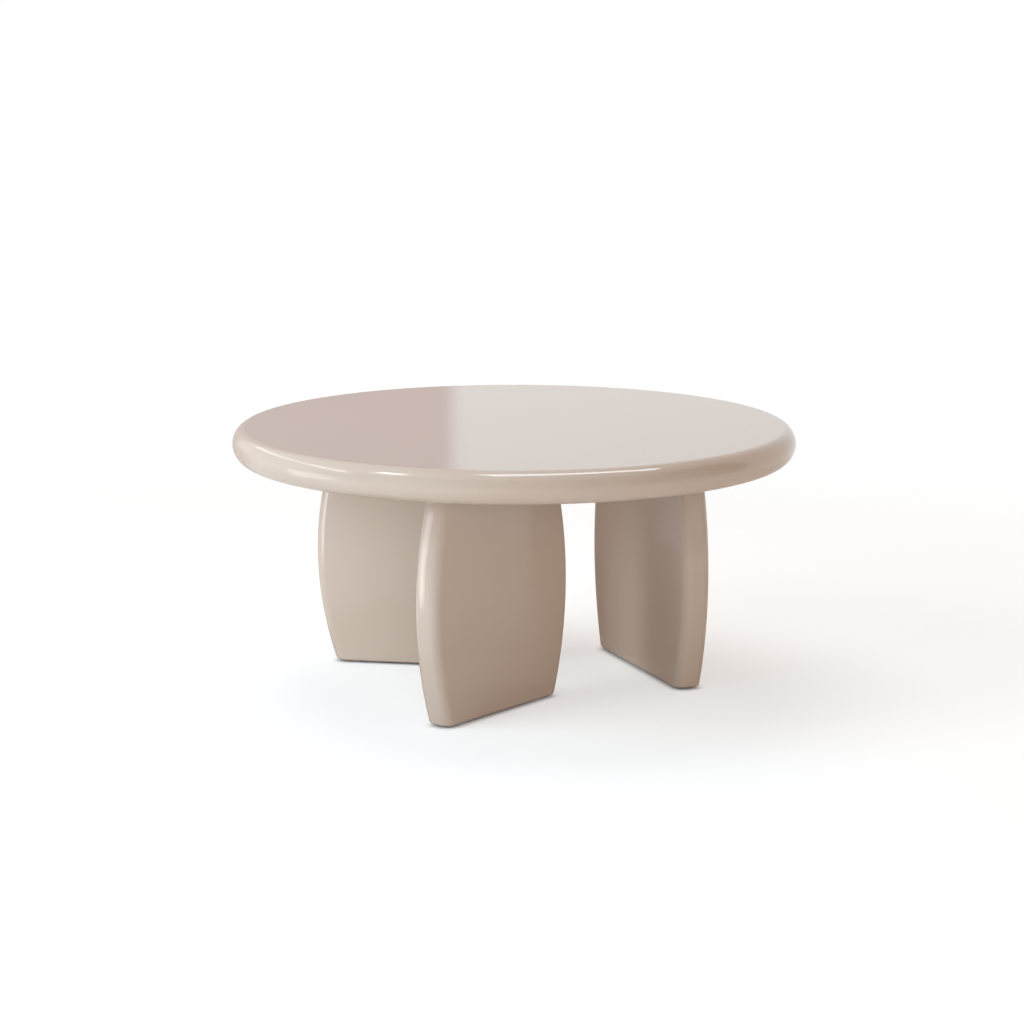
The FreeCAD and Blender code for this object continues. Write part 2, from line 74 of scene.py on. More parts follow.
to_camera = Vector((
    math.sin(CAMERA_TURN) * math.cos(CAMERA_RISE),
    -math.cos(CAMERA_TURN) * math.cos(CAMERA_RISE),
    math.sin(CAMERA_RISE),
))
to_right = Vector((math.cos(CAMERA_TURN), math.sin(CAMERA_TURN), 0.0))
aim = to_right * AIM_SIDE + Vector((0.0, 0.0, AIM_HEIGHT))

camera = bpy.data.objects.new("camera", bpy.data.cameras.new("camera"))
camera.data.lens = CAMERA_LENS
camera.data.sensor_width = SENSOR_WIDTH
camera.location = aim + to_camera * CAMERA_DISTANCE
camera.rotation_mode = "QUATERNION"
camera.rotation_quaternion = (-to_camera).to_track_quat("-Z", "Y")
bpy.context.scene.collection.objects.link(camera)
bpy.context.scene.camera = camera
bpy.context.scene.view_settings.view_transform = "Standard"
print("camera at", [round(v, 3) for v in camera.location])

# %% [markdown]
# ## From arrays to meshes
# Every new piece here is a stack of closed loops: a row of points that runs round the piece, and
# the next row a little further along. Two neighbouring rows and two neighbouring columns bound one
# quad, so the faces of any such stack follow from its size alone. The first and the last loop are
# closed with one flat face each, and where they shrink to a point or lie flat no edge shows.

# %% Loops to a closed mesh
MM = 0.001
TURN = 2 * math.pi


def skin(loops, bored=False):
    """Points and faces of a stack of closed loops, an array of rows by columns by 3.

    Both ends are capped, or the last loop joins the first where the piece is bored right through.
    """
    rows, columns, _ = loops.shape
    row, column = np.meshgrid(np.arange(rows if bored else rows - 1), np.arange(columns), indexing="ij")
    beside = (column + 1) % columns
    above = (row + 1) % rows
    corners = (row * columns + column, row * columns + beside)
    corners += (above * columns + beside, above * columns + column)
    faces = np.stack(corners, axis=-1).reshape(-1, 4).tolist()
    if not bored:
        faces.append(list(range(columns))[::-1])
        faces.append(list(range((rows - 1) * columns, rows * columns)))
    return loops.reshape(-1, 3), faces


def turned(radii, heights, columns):
    """Loops of a turned piece: each radius and height pair becomes a circle about Z."""
    angle = np.linspace(0, TURN, columns, endpoint=False)
    x = np.outer(radii, np.cos(angle))
    y = np.outer(radii, np.sin(angle))
    z = np.repeat(np.asarray(heights)[:, None], columns, axis=1)
    return np.stack((x, y, z), axis=-1)


def place(skins, spots):
    """Copies of skins at spots, each an x, a y, a z and a turn about Z: rotate in plan, then shift."""
    placed = []
    for x, y, z, turn in spots:
        c, s = math.cos(turn), math.sin(turn)
        rotation = np.array([[c, s, 0], [-s, c, 0], [0, 0, 1]])
        placed += [(points @ rotation + (x, y, z), faces) for points, faces in skins]
    return placed


print("helpers for stacked loops are ready")

# %% [markdown]
# ## From meshes to pieces
# A piece is shaded smooth, except along edges where its faces meet at a clear angle. Which way a face
# looks follows from the order of its corners. The volume summed over all triangles comes out negative
# when the faces look inwards, and then they are flipped.

# %% Meshes to pieces
SHARP_ANGLE = math.radians(35)


def finish_shading(piece):
    """Smooth shading with sharp edges kept, and faces turned outwards where the volume is negative."""
    mesh = piece.data
    mesh.calc_loop_triangles()
    corners = np.empty(len(mesh.loop_triangles) * 3, np.int32)
    mesh.loop_triangles.foreach_get("vertices", corners)
    spots = np.empty(len(mesh.vertices) * 3)
    mesh.vertices.foreach_get("co", spots)
    a, b, c = np.moveaxis(spots.reshape(-1, 3)[corners.reshape(-1, 3)], 1, 0)
    if np.einsum("ij,ij->i", a, np.cross(b, c)).sum() < 0:
        mesh.flip_normals()
    mesh.shade_smooth()
    mesh.set_sharp_from_angle(angle=SHARP_ANGLE)
    return piece


def build(name, skins):
    """A mesh object in the scene from skins, with its shading finished."""
    points = np.concatenate([some for some, _ in skins])
    starts = np.cumsum([0] + [len(some) for some, _ in skins])
    faces = [[start + corner for corner in face] for start, (_, own) in zip(starts, skins) for face in own]
    mesh = bpy.data.meshes.new(name)
    mesh.from_pydata(points, [], faces)
    mesh.validate()
    piece = bpy.data.objects.new(name, mesh)
    bpy.context.scene.collection.objects.link(piece)
    return finish_shading(piece)


def cut_out(piece, name, skins):
    """Take the space of some skins out of a piece, and keep the result as its mesh."""
    tool = build(name, skins)
    difference = piece.modifiers.new(name, "BOOLEAN")
    difference.operation = "DIFFERENCE"
    difference.solver = "EXACT"
    difference.object = tool
    whole = piece.evaluated_get(bpy.context.evaluated_depsgraph_get())
    hollowed = bpy.data.meshes.new_from_object(whole)
    old = piece.data
    piece.modifiers.remove(difference)
    piece.data = hollowed
    hollowed.name = piece.name
    bpy.data.meshes.remove(old)
    bpy.data.objects.remove(tool)
    return finish_shading(piece)


print("shading keeps edges sharper than", round(math.degrees(SHARP_ANGLE)), "degrees")

# %% [markdown]
# ## The top
# The top is a disc whose rim is a soft nose: a small arc rolls off the flat, a wider arc makes the
# belly, and a small arc rolls under again. All three meet in line, so the highlight runs round the
# rim without a kink. A bevelled cylinder could give nearly this, but one profile that is turned
# about the upright axis holds the three arcs exactly. One extra loop just inside each flat keeps the
# shading of the flat truly flat: without it the tilt of the rim would bleed into the mirror of the top.

# %% The top's surface
RIM_DEPTH = 21 * MM
RIM_CORNER_SHARE = 0.8
GUARD = 0.5 * MM
RIM_STEPS = 72
ROUND_STEPS = 384

top_low, top_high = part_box("tabletop")
TOP_RADIUS = top_high.x
TOP_THICKNESS = top_high.z - top_low.z
UNDERSIDE = top_low.z


def rim_profile():
    """Radius and height from the upper flat over the nose to the lower flat.

    One angle runs from straight up to straight down. Near either end it draws a corner arc about a
    centre on the flat's edge, and between them it draws the belly arc about a centre further in.
    """
    corner = RIM_CORNER_SHARE * min(RIM_DEPTH, TOP_THICKNESS / 2)
    rise = TOP_THICKNESS / 2 - corner
    belly = (RIM_DEPTH**2 + rise**2 - corner**2) / (2 * (RIM_DEPTH - corner))
    flat = TOP_RADIUS - RIM_DEPTH
    belly_centre = TOP_RADIUS - belly
    meet = math.atan2(rise, flat - belly_centre)
    angle = np.linspace(math.pi / 2, -math.pi / 2, RIM_STEPS)
    on_corner = np.abs(angle) > meet
    radius = np.where(on_corner, flat + corner * np.cos(angle), belly_centre + belly * np.cos(angle))
    height = np.where(on_corner, np.sign(angle) * rise + corner * np.sin(angle), belly * np.sin(angle))
    radius = np.concatenate(([flat - GUARD], radius, [flat - GUARD]))
    height = np.concatenate(([TOP_THICKNESS / 2], height, [-TOP_THICKNESS / 2]))
    return radius, height + UNDERSIDE + TOP_THICKNESS / 2


rim_radius, rim_height = rim_profile()
top = build("lacquered_top", [skin(turned(rim_radius, rim_height, ROUND_STEPS))])
print("top:", len(top.data.polygons), "faces, radius", round(TOP_RADIUS, 4))

# %% [markdown]
# ## The legs
# Each leg is a panel that swells like a barrel towards the middle of its height. Its ends follow a
# circular arc, and the edges between ends and broad faces are rounded by one constant radius all the
# way. A box with a bevel would round the edges but not swell. So the loop round the leg is written
# as a function of height: at every height the end stands where the arc puts it, and the rounding is
# a quarter circle measured square to that arc. A smaller rounding takes the foot of the leg in.

# %% The legs' surfaces
CROSS_LEG_LENGTH = 395 * MM
PAIR_LEG_LENGTH = 344 * MM
PAIR_LEG_TURN = math.radians(31)
LEG_BULGE = 32 * MM
LEG_EDGE_RADIUS = 16 * MM
LEG_TOE_RADIUS = 5 * MM
EDGE_STEPS = 14
TOE_STEPS = 7
HEIGHT_STEPS = 72

cross_low, cross_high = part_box("cross_leg")
LEG_THICKNESS = cross_high.x - cross_low.x
LEG_FOOT = cross_low.z
LEG_HEIGHT = cross_high.z - cross_low.z


def middle(node):
    """Plan position of the middle of a node's box."""
    low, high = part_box(node)
    return (low.x + high.x) / 2, (low.y + high.y) / 2


LEGS = {
    "cross": (CROSS_LEG_LENGTH, *middle("cross_leg"), math.pi / 2),
    "front": (PAIR_LEG_LENGTH, *middle("front_leg"), PAIR_LEG_TURN),
    "back": (PAIR_LEG_LENGTH, *middle("back_leg"), -PAIR_LEG_TURN),
}


def bowed_leg(length):
    """Loops of a leg about its own middle, its length along X, from the foot up.

    The end of the leg is an arc of radius R whose centre lies at half height. A point of the rounded
    edge at angle f keeps the distance R - r + r cos f from that centre, which gives its place along
    the leg at any height, and lies r sin f off the edge's own line across the leg. The toe draws
    in the rounding r by a quarter circle over the lowest few millimetres.
    """
    arc = ((LEG_HEIGHT / 2) ** 2 + LEG_BULGE**2) / (2 * LEG_BULGE)
    toe = np.linspace(0, math.pi / 2, TOE_STEPS)
    shaft = np.linspace(LEG_TOE_RADIUS, LEG_HEIGHT, HEIGHT_STEPS)[1:]
    height = np.concatenate(([0.0], LEG_TOE_RADIUS * (1 - np.cos(toe)), shaft))
    inset = np.concatenate(([LEG_TOE_RADIUS + GUARD], LEG_TOE_RADIUS * (1 - np.sin(toe)), 0 * shaft))
    above = (height - LEG_HEIGHT / 2)[:, None]
    rounding = (LEG_EDGE_RADIUS - inset)[:, None]

    quarter = np.linspace(0, math.pi / 2, EDGE_STEPS)
    edge_angle = np.concatenate((quarter - math.pi / 2, quarter))
    core = LEG_THICKNESS / 2 - LEG_EDGE_RADIUS
    side = np.where(np.arange(2 * EDGE_STEPS) < EDGE_STEPS, -core, core)
    reach = arc - LEG_EDGE_RADIUS + rounding * np.cos(edge_angle)
    along = length / 2 - arc + np.sqrt(reach**2 - above**2)
    across = side + rounding * np.sin(edge_angle)
    far = along[:, -1:] - GUARD
    u = np.concatenate((along, far, -far, -along[:, ::-1], -far, far), axis=1)
    wide = across[:, -1:]
    v = np.concatenate((across, wide, wide, across[:, ::-1], -wide, -wide), axis=1)
    w = np.repeat(height[:, None], u.shape[1], axis=1)
    return np.stack((u, v, w), axis=-1)


legs = {}
for name, (length, x, y, turn) in LEGS.items():
    legs[name] = build(f"{name}_panel_leg", place([skin(bowed_leg(length))], [(x, y, LEG_FOOT, turn)]))
    print(name, "leg:", len(legs[name].data.polygons), "faces")

# %% [markdown]
# ## Recesses and sockets
# On the bench the top and the legs come apart, so both have the holes that hold them together: flat
# recesses for the steel plates, holes for dowels and threaded inserts, and stepped sockets for the
# levelling feet. Each hole is a closed shape of its own, and a Boolean takes it out of the lacquered
# piece. The result is kept as a plain mesh, so no helper shape is left in the scene.

# %% Outlines and places along a leg
PLATE_INSET = 55 * MM
PLATE_FLANGE = 35 * MM
PLATE_THICKNESS = 5 * MM
PLATE_CORNER = 8 * MM
BOLT_SHARE = 0.72
SCREW_SHARES = (0.8, 0.27)
DOWEL_INSET = 30 * MM
FOOT_INSET = 45 * MM
CORNER_STEPS = 8
HOLE_STEPS = 32
BOTH = (1, -1)


def rounded_outline(half_length, half_width, corner):
    """A loop in plan: four quarter circles, each about its own centre, joined by straight sides."""
    angle = np.linspace(0, TURN, 4 * CORNER_STEPS, endpoint=False).reshape(4, CORNER_STEPS)
    angle = angle + np.linspace(0, TURN / 4 / CORNER_STEPS, CORNER_STEPS)
    corner_x = np.array((1, -1, -1, 1))[:, None] * (half_length - corner)
    corner_y = np.array((1, 1, -1, -1))[:, None] * (half_width - corner)
    x = corner_x + corner * np.cos(angle)
    y = corner_y + corner * np.sin(angle)
    return np.stack((x.ravel(), y.ravel()), axis=-1)


def upright(outline, heights):
    """Loops of one plan outline repeated at several heights."""
    flat = np.repeat(outline[None], len(heights), axis=0)
    z = np.broadcast_to(np.asarray(heights)[:, None, None], flat.shape[:2] + (1,))
    return np.concatenate((flat, z), axis=-1)


def bar(radius, low, high):
    """A closed round bar between two heights."""
    return skin(turned([radius, radius], [low, high], HOLE_STEPS))


def on_leg(name, places, z):
    """Spots for place(): positions along and across a leg, as x, y, z and the leg's turn."""
    _, x, y, turn = LEGS[name]
    c, s = math.cos(turn), math.sin(turn)
    return [(x + u * c - v * s, y + u * s + v * c, z, turn) for u, v in places]


def flat_half(name):
    """Half the length of a leg's flat upper and lower ends."""
    return LEGS[name][0] / 2 - LEG_BULGE


def bolt_places(name):
    """Two bolts in each flange of a leg's plate."""
    along = BOLT_SHARE * (flat_half(name) - PLATE_INSET)
    beside = LEG_THICKNESS / 2 + PLATE_FLANGE / 2
    return [(a * along, b * beside) for a in BOTH for b in BOTH]


def pair_places(name, inset):
    """One place near each end of a leg."""
    return [(side * (flat_half(name) - inset), 0.0) for side in BOTH]


def dowel_places(name):
    """One dowel near each end of a leg."""
    return pair_places(name, DOWEL_INSET)


def foot_places(name):
    """One foot near each end of a leg."""
    return pair_places(name, FOOT_INSET)


def screw_places(name):
    """Four screws in a row along a leg's upper end."""
    reach = flat_half(name) - PLATE_INSET
    return [(side * share * reach, 0.0) for share in SCREW_SHARES for side in BOTH]


print("bolts in each plate:", len(bolt_places("cross")), "screws:", len(screw_places("cross")))

# %% Recesses in the top, holes in the legs
RECESS_CLEARANCE = 0.5 * MM
INSERT_HOLE_RADIUS, INSERT_HOLE_DEPTH = 5.05 * MM, 15 * MM
DOWEL_HOLE_RADIUS, DOWEL_HOLE_DEPTH = 5.05 * MM, 26 * MM
SCREW_HOLE_RADIUS, SCREW_HOLE_DEPTH = 3.55 * MM, 55 * MM
SOCKET_RADII = np.array((16, 6.05, 4.3)) * MM
SOCKET_HEIGHTS = np.array((14, 34, 53)) * MM
OVERRUN = 1 * MM

insert_hole = bar(INSERT_HOLE_RADIUS, PLATE_THICKNESS - OVERRUN, PLATE_THICKNESS + INSERT_HOLE_DEPTH)
upper_dowel_hole = bar(DOWEL_HOLE_RADIUS, -OVERRUN, DOWEL_HOLE_DEPTH)
lower_dowel_hole = bar(DOWEL_HOLE_RADIUS, -DOWEL_HOLE_DEPTH, OVERRUN)
screw_hole = bar(SCREW_HOLE_RADIUS, -SCREW_HOLE_DEPTH, OVERRUN)
step_heights = np.concatenate(([-OVERRUN], np.repeat(SOCKET_HEIGHTS[:-1], 2), SOCKET_HEIGHTS[-1:]))
foot_socket = skin(turned(np.repeat(SOCKET_RADII, 2), step_heights, HOLE_STEPS))
recesses, top_holes = [], []
for name, leg in legs.items():
    half = flat_half(name) - PLATE_INSET + RECESS_CLEARANCE
    wide = LEG_THICKNESS / 2 + PLATE_FLANGE + RECESS_CLEARANCE
    outline = rounded_outline(half, wide, PLATE_CORNER + RECESS_CLEARANCE)
    recess = skin(upright(outline, [-OVERRUN, PLATE_THICKNESS]))
    dowel_spots = on_leg(name, dowel_places(name), UNDERSIDE)
    recesses += place([recess], on_leg(name, [(0, 0)], UNDERSIDE))
    top_holes += place([insert_hole], on_leg(name, bolt_places(name), UNDERSIDE))
    top_holes += place([upper_dowel_hole], dowel_spots)
    holes = place([foot_socket], on_leg(name, foot_places(name), LEG_FOOT))
    holes += place([lower_dowel_hole], dowel_spots)
    holes += place([screw_hole], on_leg(name, screw_places(name), UNDERSIDE))
    cut_out(leg, f"{name}_leg_holes", holes)
cut_out(top, "plate_recesses", recesses)
cut_out(top, "top_holes", top_holes)
print("top after its holes:", len(top.data.polygons), "faces")

# %% [markdown]
# ## Turned and threaded pieces
# Bolts, screws, inserts and feet come off a lathe, so one description serves them all: a height for
# each row, and a radius for each row and each angle round the axis. Where the radius is the same all
# round, the piece is plainly turned. A thread is a wave in the radius that climbs one pitch in a turn,
# a spanner flat is the distance to the nearest side of a hexagon, and a flute is a ripple. Blender's
# Screw modifier could wind a thread too, but a wave in the radius leaves one closed surface, and it can
# fade out at both ends as a cut thread does. These sizes are in millimetres, as on a maker's drawing.

# %% Helpers for turned pieces
SPIN_STEPS = 36
SPIN = np.linspace(0, TURN, SPIN_STEPS, endpoint=False)
PITCH_STEPS = 6
BEND_STEPS = 5
THREAD_SHARE = 0.4
BEVEL = 0.4


def plain(*corners):
    """Rows of a plainly turned stretch, from pairs of a radius and a height."""
    radius, height = np.array(corners, float).T
    return height, np.repeat(radius[:, None], SPIN_STEPS, axis=1)


def bend(radius, height, size, start, end):
    """Corners of a rounding, between two angles in degrees.

    They are points of a circle about a centre that is given by its own radius and height.
    """
    angle = np.radians(np.linspace(start, end, BEND_STEPS))
    return np.stack((radius + size * np.cos(angle), height + size * np.sin(angle)), axis=-1).tolist()


def six_sided(width, *corners):
    """Rows of a hexagon, cut back to the radius of each corner pair.

    The radius is half the width over the cosine of the angle to the middle of the nearest side.
    """
    limit, height = np.array(corners, float).T
    side = width / 2 / np.cos(SPIN % (TURN / 6) - TURN / 12)
    return height, np.minimum(side, limit[:, None])


def fluted(count, depth, *corners):
    """Rows of a fluted stretch: the radius less a ripple with a number of waves round the axis."""
    height, radius = plain(*corners)
    return height, radius - depth * (0.5 + 0.5 * np.cos(count * SPIN))


def thread(crest, pitch, start, end):
    """Rows of a thread: a wave in height over pitch less the angle, which grows and fades in one pitch."""
    height = np.linspace(start, end, round(abs(end - start) / pitch * PITCH_STEPS) + 1)
    fade = np.clip(np.minimum(abs(height - start), abs(height - end)) / pitch, 0, 1)
    wave = 0.5 + 0.5 * np.cos(TURN * height[:, None] / pitch - SPIN)
    return height, crest - THREAD_SHARE * pitch * (1 - fade[:, None] * wave)


def carved(*stretches):
    """Loops about Z from stretches of rows: the radius times the angle's cosine and sine, row by row."""
    height = np.concatenate([rows for rows, _ in stretches]) * MM
    radius = np.concatenate([radii for _, radii in stretches]) * MM
    z = np.repeat(height[:, None], SPIN_STEPS, axis=1)
    return np.stack((radius * np.cos(SPIN), radius * np.sin(SPIN), z), axis=-1)


def in_every_leg(places, z):
    """Spots for place() in all three legs, in the order of the legs."""
    return [spot for name in LEGS for spot in on_leg(name, places(name), z)]


print("helpers for turned pieces:", SPIN_STEPS, "steps round")

# %% [markdown]
# ## The levelling feet
# Each leg stands on two feet that sit in pockets, so that only a thin seam shows under the leg. A foot
# is a nylon pad on the floor, a turned steel base on the pad, and a threaded stem. The heel of the stem
# turns inside the base, and its six-sided collar takes a thin spanner. Turning the stem in the
# threaded insert above lifts that corner of the table. Pad and base slide with the foot and the stem
# turns as well, so they are separate pieces, each on the body that carries it.

# %% Levelling feet
PAD_RADIUS, PAD_TOP, PAD_TOE = 12.0, 4.0, 1.0
GROOVES = ((4.0, 6.0), (8.0, 10.0))
GROOVE_DEPTH, GROOVE_SLOPE = 0.5, 0.3
BASE_RADIUS, BASE_TOP, BASE_SHOULDER = 13.0, 12.0, 3.0
SHOULDER_BEND, RIM_BEND = 1.0, 0.6
HEEL_ROOM_RADIUS, HEEL_ROOM_FLOOR, HEEL_ROOM_CEILING = 6.05, 6.0, 10.0
MOUTH_RADIUS = 4.3
HEEL_RADIUS, HEEL_FLOOR, HEEL_TOP = 6.0, 6.05, 9.95
NECK_RADIUS = 3.4
COLLAR_WIDTH, COLLAR_FLOOR, COLLAR_TOP = 13.0, 12.3, 16.3
COLLAR_ROUND = 6.4
STEM_RADIUS, STEM_PITCH, STEM_TOP = 4.0, 1.25, 52.0
EIGHTH_TANGENT = math.tan(math.pi / 8)


def nylon_pad():
    """A pad from its lower face outwards: two ring grooves, a rounded toe, a straight side, a bevel."""
    rings = []
    for inner, outer in GROOVES:
        rings += [(inner, 0), (inner + GROOVE_SLOPE, GROOVE_DEPTH)]
        rings += [(outer - GROOVE_SLOPE, GROOVE_DEPTH), (outer, 0)]
    toe = bend(PAD_RADIUS - PAD_TOE, PAD_TOE, PAD_TOE, -90, 0)
    side = [(PAD_RADIUS, PAD_TOP - BEVEL), (PAD_RADIUS - BEVEL, PAD_TOP)]
    return skin(carved(plain(*rings, *toe, *side)))


def turned_base():
    """A base from its lower face over a sloping shoulder, then down its mouth into the heel's room."""
    skirt = [(BASE_RADIUS - BEVEL, PAD_TOP), (BASE_RADIUS, PAD_TOP + BEVEL)]
    slope_foot = BASE_TOP - BASE_SHOULDER - SHOULDER_BEND * EIGHTH_TANGENT
    slope_head = BASE_RADIUS - BASE_SHOULDER - RIM_BEND * EIGHTH_TANGENT
    shoulder = bend(BASE_RADIUS - SHOULDER_BEND, slope_foot, SHOULDER_BEND, 0, 45)
    shoulder += bend(slope_head, BASE_TOP - RIM_BEND, RIM_BEND, 45, 90)
    mouth = [(MOUTH_RADIUS + BEVEL, BASE_TOP), (MOUTH_RADIUS, BASE_TOP - BEVEL)]
    mouth.append((MOUTH_RADIUS, HEEL_ROOM_CEILING))
    room = [(HEEL_ROOM_RADIUS, HEEL_ROOM_CEILING), (HEEL_ROOM_RADIUS, HEEL_ROOM_FLOOR)]
    return skin(carved(plain(*skirt, *shoulder, *mouth, *room)))


def threaded_stem():
    """A stem upwards: a bevelled heel, a thin neck, a six-sided collar, a thread and a blunt point."""
    heel = [(HEEL_RADIUS - BEVEL, HEEL_FLOOR), (HEEL_RADIUS, HEEL_FLOOR + BEVEL)]
    heel += [(HEEL_RADIUS, HEEL_TOP - BEVEL), (HEEL_RADIUS - BEVEL, HEEL_TOP)]
    neck = [(NECK_RADIUS, HEEL_TOP), (NECK_RADIUS, COLLAR_FLOOR)]
    lower = [(COLLAR_ROUND + step, COLLAR_FLOOR + step / 2) for step in (0, BEVEL, 2 * BEVEL, 3 * BEVEL)]
    upper = [(radius, COLLAR_FLOOR + COLLAR_TOP - height) for radius, height in lower[::-1]]
    collar = six_sided(COLLAR_WIDTH, *lower, *upper)
    screw = thread(STEM_RADIUS, STEM_PITCH, COLLAR_TOP, STEM_TOP - 2 * BEVEL)
    point = plain((NECK_RADIUS - 2 * BEVEL, STEM_TOP))
    return skin(carved(plain(*heel, *neck), collar, screw, point))


dressed = [(top, "tabletop", "table")]
dressed += [(leg, f"{name}_leg", "table") for name, leg in legs.items()]
for number, spot in enumerate(in_every_leg(foot_places, 0.0), start=1):
    pad = build(f"foot_{number}_nylon_pad", place([nylon_pad()], [spot]))
    base = build(f"foot_{number}_turned_base", place([turned_base()], [spot]))
    stem = build(f"foot_{number}_threaded_stem", place([threaded_stem()], [spot]))
    dressed.append((pad, f"foot_{number}_pad", f"foot_{number}"))
    dressed.append((base, f"foot_{number}_base", f"foot_{number}"))
    dressed.append((stem, f"foot_{number}_stem", f"stem_{number}"))
print("feet:", number, "with", len(stem.data.polygons), "faces in each stem")

# %% [markdown]
# ## Plates, bolts and screws
# A steel plate on the upper end of each leg lies flush in the underside of the top. Countersunk screws
# hold it to the leg, and bolts with washers hold it to brass inserts in the top, so the table can be
# taken apart from below. The plate is an outline raised through four heights and drawn in at the first
# and the last for a fine bevel, and its holes are cut as those of the legs were.

# %% Plates
BOLT_HOLE_RADIUS = 3.3
SINK_NECK, SINK_RADIUS, SINK_DEPTH = 3.8 * MM, 6.8 * MM, 3 * MM
SINK_RADII = (SINK_NECK, SINK_NECK, SINK_RADIUS, SINK_RADIUS)
SINK_HEIGHTS = (-OVERRUN, PLATE_THICKNESS - SINK_DEPTH, PLATE_THICKNESS, PLATE_THICKNESS + OVERRUN)


def steel_plate(name):
    """A plate about a leg's middle: a rounded outline at four heights, drawn in at both faces."""
    bevel = BEVEL * MM
    levels = (0, bevel, PLATE_THICKNESS - bevel, PLATE_THICKNESS)
    half = flat_half(name) - PLATE_INSET
    wide = LEG_THICKNESS / 2 + PLATE_FLANGE
    loops = []
    for level, drawn_in in zip(levels, (bevel, 0, 0, bevel)):
        outline = rounded_outline(half - drawn_in, wide - drawn_in, PLATE_CORNER - drawn_in)
        loops.append(upright(outline, [level]))
    return skin(np.concatenate(loops))


sink = skin(turned(SINK_RADII, SINK_HEIGHTS, HOLE_STEPS))
bolt_hole = bar(BOLT_HOLE_RADIUS * MM, -OVERRUN, PLATE_THICKNESS + OVERRUN)
for name in LEGS:
    plate = build(f"{name}_steel_plate", place([steel_plate(name)], on_leg(name, [(0, 0)], UNDERSIDE)))
    holes = place([sink], on_leg(name, screw_places(name), UNDERSIDE))
    holes += place([bolt_hole], on_leg(name, bolt_places(name), UNDERSIDE))
    cut_out(plate, f"{name}_plate_holes", holes)
    dressed.append((plate, f"{name}_plate", "table"))
    print(name, "plate:", len(plate.data.polygons), "faces")

# %% Bolts, washers and screws
BOLT_RADIUS, BOLT_PITCH, BOLT_LENGTH = 3.0, 1.0, 18.0
BOLT_HEAD_RADIUS, BOLT_HEAD_HEIGHT = 5.5, 4.0
KEY_WIDTH, KEY_DEPTH = 4.0, 2.5
WASHER_RADIUS, WASHER_THICKNESS = 7.5, 1.5
SCREW_SHANK, SCREW_PITCH, SCREW_LENGTH, SCREW_TIP = 3.5, 3.0, 60.0, 8.0
SCREW_HEAD_RADIUS, SCREW_HEAD_HEIGHT = 6.5, 3.0
SCREW_PLAIN_END = 14.0
SCREW_POINT = 0.15


def socket_bolt():
    """A bolt from the floor of its six-sided socket down to its face, round the head and up the thread."""
    face = -BOLT_HEAD_HEIGHT
    socket = six_sided(KEY_WIDTH, (KEY_WIDTH, face + KEY_DEPTH), (KEY_WIDTH, face + BEVEL / 2))
    head = [(KEY_WIDTH / 2 + BEVEL, face)]
    head += bend(BOLT_HEAD_RADIUS - 2 * BEVEL, face + 2 * BEVEL, 2 * BEVEL, -90, 0)
    head += [(BOLT_HEAD_RADIUS, -BEVEL / 2), (BOLT_HEAD_RADIUS - BEVEL / 2, 0), (BOLT_RADIUS, 0)]
    screw = thread(BOLT_RADIUS, BOLT_PITCH, BEVEL, BOLT_LENGTH - 2 * BEVEL)
    return skin(carved(socket, plain(*head), screw, plain((BOLT_RADIUS - 2 * BEVEL, BOLT_LENGTH))))


def flat_ring(outer, inner, thickness):
    """A washer: a rectangle with bevelled corners, carried round the axis and closed on itself."""
    small = BEVEL / 2
    lower = [(inner, small), (inner + small, 0), (outer - small, 0), (outer, small)]
    upper = [(radius, thickness - height) for radius, height in lower[::-1]]
    return skin(carved(plain(*lower, *upper)), bored=True)


def wood_screw():
    """A screw from the floor of its socket up to its face, then down the sunk head and the thread."""
    socket = six_sided(KEY_WIDTH, (KEY_WIDTH, BEVEL - KEY_DEPTH), (KEY_WIDTH, -BEVEL / 2))
    rim = SCREW_HEAD_RADIUS - BEVEL
    face = [(KEY_WIDTH / 2 + BEVEL, 0), (rim, 0), (rim, -BEVEL)]
    shank = [(SCREW_SHANK, -SCREW_HEAD_HEIGHT), (SCREW_SHANK, -SCREW_PLAIN_END)]
    screw = thread(SCREW_SHANK, SCREW_PITCH, -SCREW_PLAIN_END, SCREW_TIP - SCREW_LENGTH)
    return skin(carved(socket, plain(*face, *shank), screw, plain((SCREW_POINT, -SCREW_LENGTH))))


under_washer = UNDERSIDE - WASHER_THICKNESS * MM
on_plate = UNDERSIDE + PLATE_THICKNESS
bolt_spots = in_every_leg(bolt_places, under_washer)
bolts = build("socket_bolts", place([socket_bolt()], bolt_spots))
washer = flat_ring(WASHER_RADIUS, BOLT_HOLE_RADIUS, WASHER_THICKNESS)
washers = build("flat_washers", place([washer], bolt_spots))
screws = build("countersunk_screws", place([wood_screw()], in_every_leg(screw_places, on_plate)))
dressed += [(bolts, "top_bolts", "table"), (washers, "bolt_washers", "table")]
dressed.append((screws, "leg_screws", "table"))
print("bolts and washers:", len(bolt_spots), "each, screws:", len(screws.data.polygons), "faces")

# %% [markdown]
# ## Inserts and dowels
# Inserts are driven into the wood by a coarse outer thread. Those in the top take the bolts in their
# bores, and those in the legs take the stems of the feet. Beech dowels between each leg and the top
# carry the side loads. Their flutes let glue and air out, and here they are a ripple in the radius.

# %% Inserts and dowels
INSERT_PITCH = 2.5
TOP_INSERT_RADIUS, TOP_INSERT_BORE, TOP_INSERT_LENGTH = 5.0, 3.05, 15.0
FOOT_INSERT_RADIUS, FOOT_INSERT_BORE, FOOT_INSERT_LENGTH = 6.0, 4.05, 20.0
FOOT_POCKET_CEILING = 17.0
FLUTES, FLUTE_DEPTH = 12, 0.3
DOWEL_SIZE, DOWEL_HALF, DOWEL_CHAMFER = 5.0, 25.0, 1.0


